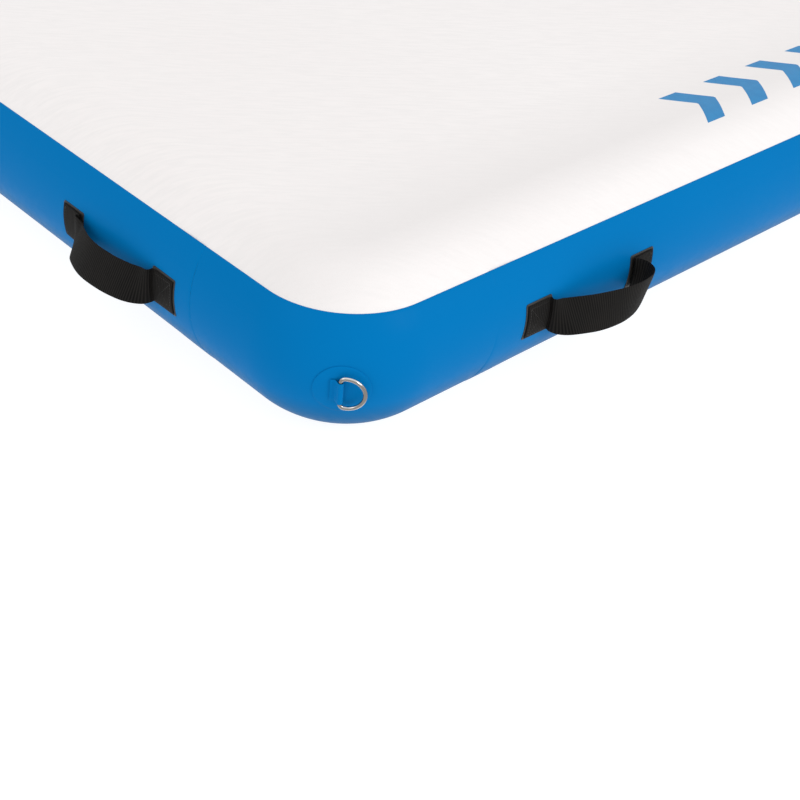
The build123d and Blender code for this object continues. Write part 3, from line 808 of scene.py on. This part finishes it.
def webbing_mesh(side, centre, loop):
    """A ribbed strap with rounded selvages, as one closed skin."""
    across = WEBBING_WIDTH / 2 * np.sin(np.radians(np.linspace(-90, 90, 23)))
    shape = loop.surface(across[None, :])
    points = on_side(side, centre + shape[..., 0], shape[..., 1], shape[..., 2])
    run = np.gradient(points, axis=0)
    over = np.gradient(points, axis=1)
    normal = np.cross(run, over)
    normal /= np.linalg.norm(normal, axis=-1, keepdims=True)
    step = np.linalg.norm(np.diff(points[:, len(across) // 2], axis=0), axis=1)
    length = np.concatenate([[0], np.cumsum(step)])
    edge = np.sqrt(np.clip(1 - (np.abs(across) / (WEBBING_WIDTH / 2)) ** 6, 0, 1))[None, :]
    phase = 2 * np.pi * length / RIB_PITCH
    rib = -RIB * (0.75 * np.cos(phase) + 0.15 * np.cos(phase / 2))[:, None]
    ends = np.minimum(1, np.minimum(length, length[-1] - length) / 0.8)[:, None] ** 0.5
    half = (WEBBING / 2 - RIB_SINK + rib) * edge * ends
    upper, lower = points + normal * half[..., None], points - normal * half[..., None]
    loops = np.concatenate([upper, lower[:, ::-1][:, 1:-1]], axis=1)
    uv_across = np.concatenate([across, across[::-1][1:-1]]) * MM
    uvs = np.stack(np.broadcast_arrays(length[:, None] * MM, uv_across[None, :]), -1)
    mesh_points, faces = sweep(loops)
    return mesh_points, outward_faces(mesh_points, faces), uvs.reshape(-1, 2)


def stitch(points_at, start, end, pitch=3.2, length=2.5, radius=0.32):
    """A run of single stitches between two places on a pad. points_at(a, b, h) is in mm."""
    start, end = np.array(start, float), np.array(end, float)
    run = np.linalg.norm(end - start)
    count = max(1, int(run / pitch))
    forward = (end - start) / run
    sideways = np.array([-forward[1], forward[0]])
    parts = []
    for k in range(count):
        middle = start + (end - start) * (k + 0.5) / count
        loops = []
        for t in (-1.0, -0.7, 0.0, 0.7, 1.0):
            thin = math.sqrt(max(0.05, 1 - t * t))
            place = middle + forward * t * length / 2
            ring = []
            for q in np.radians((0, 60, 120, 180, 240, 300)):
                a, b = place + sideways * radius * thin * math.cos(q)
                h = 0.25 * radius + radius * thin * math.sin(q) - 0.25 * t * t
                ring.append(points_at(a, b, h))
            loops.append(ring)
        p, f = sweep(np.array(loops))
        parts.append((p, outward_faces(p, f)))
    return parts


stitches = []
for handle, (side, centre) in HANDLES.items():
    webbing_points, webbing_faces, webbing_uvs = webbing_mesh(side, centre, LOOPS[side])
    webbing = build(
        "visual_handle_" + handle,
        webbing_points,
        webbing_faces,
        "black_webbing",
        uvs=webbing_uvs,
    )
    reach = [Vector(on_side(side, centre, out, HANDLE_Z) * MM) for out in (3.0, 20.0)]
    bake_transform(webbing)
    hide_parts("handle_loop_" + handle, "handle_ends_" + handle)
    for end in (-1, 1):
        pad = centre + end * (HANDLE_HALF - PAD_LENGTH / 2)

        def place(a, b, h, s=side, c=pad):
            return on_wall(s, c + a, FABRIC + WEBBING + h, b)

        wide, tall = PAD_LENGTH / 2 - 3.5, WEBBING_WIDTH / 2 - 4.0
        corners = [(-wide, -tall), (wide, -tall), (wide, tall), (-wide, tall)]
        for a, b in zip(corners, corners[1:] + corners[:1]):
            stitches += stitch(place, a, b)
        stitches += stitch(place, corners[0], corners[2])
        stitches += stitch(place, corners[1], corners[3])
stitch_points, stitch_faces = joined(stitches)
thread = build(
    "visual_handle_stitching", stitch_points, stitch_faces, "black_thread", "black_webbing"
)
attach(thread, "mat")

# ================================================================ D-rings
RING_WIRE, RING_HEIGHT, RING_DEPTH, RING_CORNER = 2.2, 42.0, 29.5, 4.8
RING_Z, RING_TURN, RING_LEAN = 92.0, 2.3, -6.0
PATCH_RADIUS, PATCH, PATCH_Z, PATCH_TURN = 30.0, 0.9, 90.0, 3.0
STRAP, STRAP_WIDTH, STRAP_TAIL, STRAP_GAP = 1.1, 27.0, 10.5, 0.06
STRAP_ROUND = (150, -65)  # degrees round the bar
BAR_OUT = PATCH + STRAP + RING_WIRE + 0.36


def corner_frame(corner, turn, z):
    """Origin on a corner's face with unit vectors along it, up it and out of it."""
    corner_x, corner_y = CORNERS[corner]
    around = math.atan2(corner_y, corner_x) + math.radians(turn)
    rise = math.asin((z - MID_Z) / WALL_OUT)
    flat = np.array([math.cos(around), math.sin(around), 0])
    axis = np.array([corner_x * TURN_X, corner_y * TURN_Y, 0])
    origin = axis + flat * (TURN + WALL_OUT * math.cos(rise)) + np.array([0, 0, z])
    out = flat * math.cos(rise) + np.array([0, 0, math.sin(rise)])
    along = np.array([-flat[1], flat[0], 0])
    return origin, along, np.cross(out, along), out


def on_corner(corner, turn, z, a, b, h):
    """Point of a pad laid on a corner's face: a along it, b up it, h out of it."""
    corner_x, corner_y = CORNERS[corner]
    around = math.atan2(corner_y, corner_x) + math.radians(turn) + a / (TURN + WALL_OUT)
    rise = math.asin((z - MID_Z) / WALL_OUT) + b / WALL_OUT
    reach = TURN + (WALL_OUT + h) * np.cos(rise)
    return np.stack(
        np.broadcast_arrays(
            corner_x * TURN_X + np.cos(around) * reach,
            corner_y * TURN_Y + np.sin(around) * reach,
            MID_Z + (WALL_OUT + h) * np.sin(rise),
        ),
        -1,
    )


def ring_path():
    """Centre line of the ring's wire: x away from the bar, y along it."""
    bar, bow = RING_HEIGHT / 2 - RING_WIRE - RING_CORNER, RING_HEIGHT / 2 - RING_WIRE
    leg = RING_DEPTH - 2 * RING_WIRE - RING_CORNER - bow
    made = [(0, y) for y in np.linspace(-bar, bar, 14)]
    for t in np.radians(np.linspace(180, 90, 9)[1:]):
        made.append((RING_CORNER + RING_CORNER * math.cos(t), bar + RING_CORNER * math.sin(t)))
    for t in np.radians(np.linspace(90, -90, 41)):
        made.append((RING_CORNER + leg + bow * math.cos(t), bow * math.sin(t)))
    for t in np.radians(np.linspace(-90, -180, 9)[:-1]):
        made.append((RING_CORNER + RING_CORNER * math.cos(t), -bar + RING_CORNER * math.sin(t)))
    return np.array(made)


def ring_mesh(corner):
    """The D-ring at rest, and the frame of its bar: origin, along, up and out."""
    origin, along, up, out = corner_frame(corner, RING_TURN, RING_Z)
    bar_origin = origin + out * BAR_OUT
    lean = math.radians(RING_LEAN)
    ring_x = along * math.cos(lean) - out * math.sin(lean)
    ring_out = out * math.cos(lean) + along * math.sin(lean)
    path = ring_path()
    run = np.roll(path, -1, 0) - np.roll(path, 1, 0)
    run /= np.linalg.norm(run, axis=1, keepdims=True)
    angles = np.radians(np.arange(0, 360, 20))
    loops = []
    for (px, py), (tx, ty) in zip(path, run):
        centre = bar_origin + ring_x * px + up * py
        side_dir = ring_x * ty - up * tx
        section = np.cos(angles)[:, None] * side_dir + np.sin(angles)[:, None] * ring_out
        loops.append(centre + RING_WIRE * section)
    points, faces = sweep(loops, closed=True)
    return points, outward_faces(points, faces), (bar_origin, along, up, out)


def strap_line():
    """(along, out) of the strap from the bar: a tail on the patch, round the bar and back."""
    bend = RING_WIRE + STRAP_GAP + STRAP / 2
    floor = PATCH + STRAP / 2 - BAR_OUT
    line = [(x, floor + 0.1) for x in np.linspace(-STRAP_TAIL, -bend - 2.2, 6)]
    for t in np.radians(np.linspace(*STRAP_ROUND, 22)):
        line.append((bend * math.cos(t), bend * math.sin(t)))
    line = np.array(line)
    fine = [line[0]]
    for p, q in zip(line, line[1:]):
        fine += [p + (q - p) * k / 3 for k in (1, 2, 3)]
    return softened(np.array(fine), 6)


def strap_mesh(bar_origin, along, up, out):
    line = strap_line()
    tangent = np.gradient(line, axis=0)
    tangent /= np.linalg.norm(tangent, axis=1, keepdims=True)
    normals = np.stack([-tangent[:, 1], tangent[:, 0]], 1)
    heights = np.linspace(-STRAP_WIDTH / 2, STRAP_WIDTH / 2, 13)
    loops = []
    for p, n in zip(line, normals):
        section = []
        for sign, rows in ((1, heights), (-1, heights[::-1])):
            for h in rows:
                edge = math.sqrt(max(0.04, 1 - (abs(h) / (STRAP_WIDTH / 2)) ** 10))
                q = p + n * sign * STRAP / 2 * edge
                # follow the wall's roundness across the strap's width, below the bar only
                sink = WALL_OUT - math.sqrt(WALL_OUT**2 - h * h)
                low = max(0.0, min(1.0, -q[1] / BAR_OUT))
                section.append(bar_origin + along * q[0] + out * (q[1] - sink * low) + up * h)
        loops.append(section)
    points, faces = sweep(loops)
    return points, outward_faces(points, faces)


patch_outline = divided(rounded_outline(PATCH_RADIUS, PATCH_RADIUS, PATCH_RADIUS - 0.01, 17), 6.0)
for corner in CORNERS:
    ring_points, ring_faces, bar_frame = ring_mesh(corner)
    ring = build("visual_d_ring_" + corner, ring_points, ring_faces, "polished_steel", sharp=80)
    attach(ring, "d_ring_" + corner)
    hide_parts("d_ring_" + corner)

    patch_points, patch_faces = pad_rings(
        patch_outline,
        PATCH - PAD_GAP,
        lambda a, b, h, c=corner: on_corner(c, PATCH_TURN, PATCH_Z, a, b, h),
        rings=9,
    )
    patch_faces = outward_faces(patch_points, patch_faces)
    patch = build("visual_d_ring_patch_" + corner, patch_points, patch_faces, "blue_pvc")
    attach(patch, "mat")
    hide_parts("d_ring_patch_" + corner)

    strap_points, strap_faces = strap_mesh(*bar_frame)
    strap = build("visual_d_ring_strap_" + corner, strap_points, strap_faces, "blue_pvc")
    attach(strap, "mat")
    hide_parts("d_ring_strap_" + corner)

# ================================================================ printed marks on the top
PRINT_INSET, PRINT_HEIGHT, PRINT_PITCH, PRINT_COUNT = 73.0, 77.0, 90.0, 8
MARK_WIDTH, MARK_POINT, PRINT_LIFT = 34.0, 30.0, 0.12


def chevron(x_middle):
    """One slanted arrow mark, laid on the curved shoulder."""
    rows, columns = 26, 7
    parts = []
    v = np.linspace(0, 1, rows)[:, None]
    u = np.linspace(0, 1, columns)[None, :]
    x = x_middle + MARK_WIDTH * (u - 0.5) + MARK_POINT * (0.5 - np.abs(2 * v - 1))
    inset = PRINT_INSET + PRINT_HEIGHT * v + 0 * u
    z = top_height(inset) + PRINT_LIFT
    top = np.stack([x, inset - HALF_Y, z], -1)
    under = top - np.array([0, 0, 2 * PRINT_LIFT])
    size = rows * columns
    points = np.concatenate([top.reshape(-1, 3), under.reshape(-1, 3)])
    faces = grid_faces(rows, columns) + grid_faces(rows, columns, start=size, flip=True)
    border = list(range(columns))
    border += [i * columns + columns - 1 for i in range(1, rows)]
    border += [(rows - 1) * columns + j for j in range(columns - 2, -1, -1)]
    border += [i * columns for i in range(rows - 2, 0, -1)]
    for a, b in zip(border, border[1:] + border[:1]):
        faces.append((a, a + size, b + size, b))
    return points, faces


marks = []
for k in range(PRINT_COUNT):
    marks.append(chevron((k - (PRINT_COUNT - 1) / 2) * PRINT_PITCH))
mark_points, mark_faces = joined([(p, outward_faces(p, f)) for p, f in marks])
marks_piece = build("visual_print_marks", mark_points, mark_faces, "print_ink", "blue_pvc")
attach(marks_piece, "mat")

# ================================================================ the valve's spring
SPRING_RADIUS, SPRING_WIRE, SPRING_TURNS = 4.2, 0.35, 4
SPRING_FOOT, SPRING_HEAD = HALF_Y - 16.0, HALF_Y - 7.0  # faces it stands between


def spring_mesh():
    share = np.linspace(0, 1, SPRING_TURNS * 28 + 1)
    swing = 2 * np.pi * SPRING_TURNS * share
    outward = np.stack([-np.cos(swing), 0 * swing, np.sin(swing)], 1)
    coil = SPRING_RADIUS * outward + np.array([0, SPRING_FOOT + SPRING_WIRE, MID_Z])
    coil[:, 1] += (SPRING_HEAD - SPRING_FOOT - 2 * SPRING_WIRE) * share
    around = np.linspace(0, 2 * np.pi, 12, endpoint=False)
    section = np.cos(around)[None, :, None] * outward[:, None, :]
    section = section + np.sin(around)[None, :, None] * np.array([0, 1.0, 0])
    points, faces = sweep(coil[:, None, :] + SPRING_WIRE * section)
    return points, outward_faces(points, faces)


spring = build("visual_valve_spring", *spring_mesh(), "polished_steel")
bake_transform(spring)
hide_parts("valve_spring")

# ================================================================ finishes of the CAD nodes
ROUNDED = {
    "valve_boss": 0.5,
    "valve_body": 0.35,
    "valve_cap": 0.5,
    "valve_plunger": 0.2,
    "valve_nut": 0.4,
}  # radius on each one's edges, in mm
node_slots = {s["node"]: s["material_slot"] for s in frame["record"]["subparts"]}
for name, node in frame["nodes"].items():
    node.data.materials.clear()
    node.data.materials.append(LOOKS[node_slots[name]])
    if name in ROUNDED:
        weld = node.modifiers.new("weld", "WELD")
        weld.merge_threshold = 0.01 * MM
        soft = node.modifiers.new("bevel", "BEVEL")
        soft.width, soft.segments, soft.limit_method = ROUNDED[name] * MM, 3, "ANGLE"
        soft.angle_limit = math.radians(35)
        soft.harden_normals = True

# ================================================================ camera, floor and light
YAW, PITCH, ROLL = math.radians(43.88), math.radians(36.57), math.radians(5.61)
EYE = (-1.72825, -2.28863, 0.92225)
look = Vector(
    (math.cos(YAW) * math.cos(PITCH), math.sin(YAW) * math.cos(PITCH), -math.sin(PITCH))
)
level = Vector((math.sin(YAW), -math.cos(YAW), 0))
above = level.cross(look)
camera_x = level * math.cos(ROLL) + above * math.sin(ROLL)
camera_y = above * math.cos(ROLL) - level * math.sin(ROLL)
camera_data = bpy.data.cameras.new("camera")
camera_data.sensor_width, camera_data.lens = 36.0, 63.94
camera_data.clip_start, camera_data.clip_end = 0.05, 60.0
camera = bpy.data.objects.new("camera", camera_data)
bpy.context.scene.collection.objects.link(camera)
turn = Matrix((camera_x, camera_y, -look)).transposed().to_4x4()
camera.matrix_world = Matrix.Translation(EYE) @ turn
bpy.context.scene.camera = camera
bpy.context.scene.view_settings.view_transform = "Standard"

floor_graph = Graph("floor_white", Emission_Strength=0.90, Specular_IOR_Level=0.1)
floor_graph.shader.inputs["Emission Color"].default_value = (1, 1, 1, 1)
speck = floor_graph.noise(floor_graph.place(), 3.0)
floor_graph.to("Base Color", floor_graph.mix(speck, (0.25, 0.25, 0.25), (0.24, 0.24, 0.24)))
floor_graph.to("Roughness", floor_graph.span(speck, 0.3, 0.7, 0.7, 0.8))
FLOOR_ENDS, FLOOR_Z = (-25000.0, 25000.0), -0.6
floor_points = [(x, y, FLOOR_Z) for x in FLOOR_ENDS for y in FLOOR_ENDS]
LOOKS["floor_white"] = floor_graph.material
floor_piece = build("floor", floor_points, [(0, 2, 3, 1)], "floor_white", smooth=False)

world = bpy.data.worlds.new("studio")
bpy.context.scene.world = world
world.use_nodes = True
sky = world.node_tree.nodes["Background"]
sky.inputs["Color"].default_value = (1.0, 1.0, 1.0, 1)
sky.inputs["Strength"].default_value = 0.95


def softbox(name, at, aim, size, power):
    data = bpy.data.lights.new(name, "AREA")
    data.shape, data.size, data.energy = "SQUARE", size, power
    lamp = bpy.data.objects.new(name, data)
    lamp.location = at
    lamp.rotation_mode = "QUATERNION"
    lamp.rotation_quaternion = (Vector(aim) - Vector(at)).to_track_quat("-Z", "Y")
    bpy.context.scene.collection.objects.link(lamp)


softbox("key", (4.0, -15.0, 8.5), (-0.6, -1.0, 0.1), 7.0, 900)
softbox("fill", (-9.0, -0.6, 5.5), (-0.9, -0.9, 0.1), 5.0, 100)
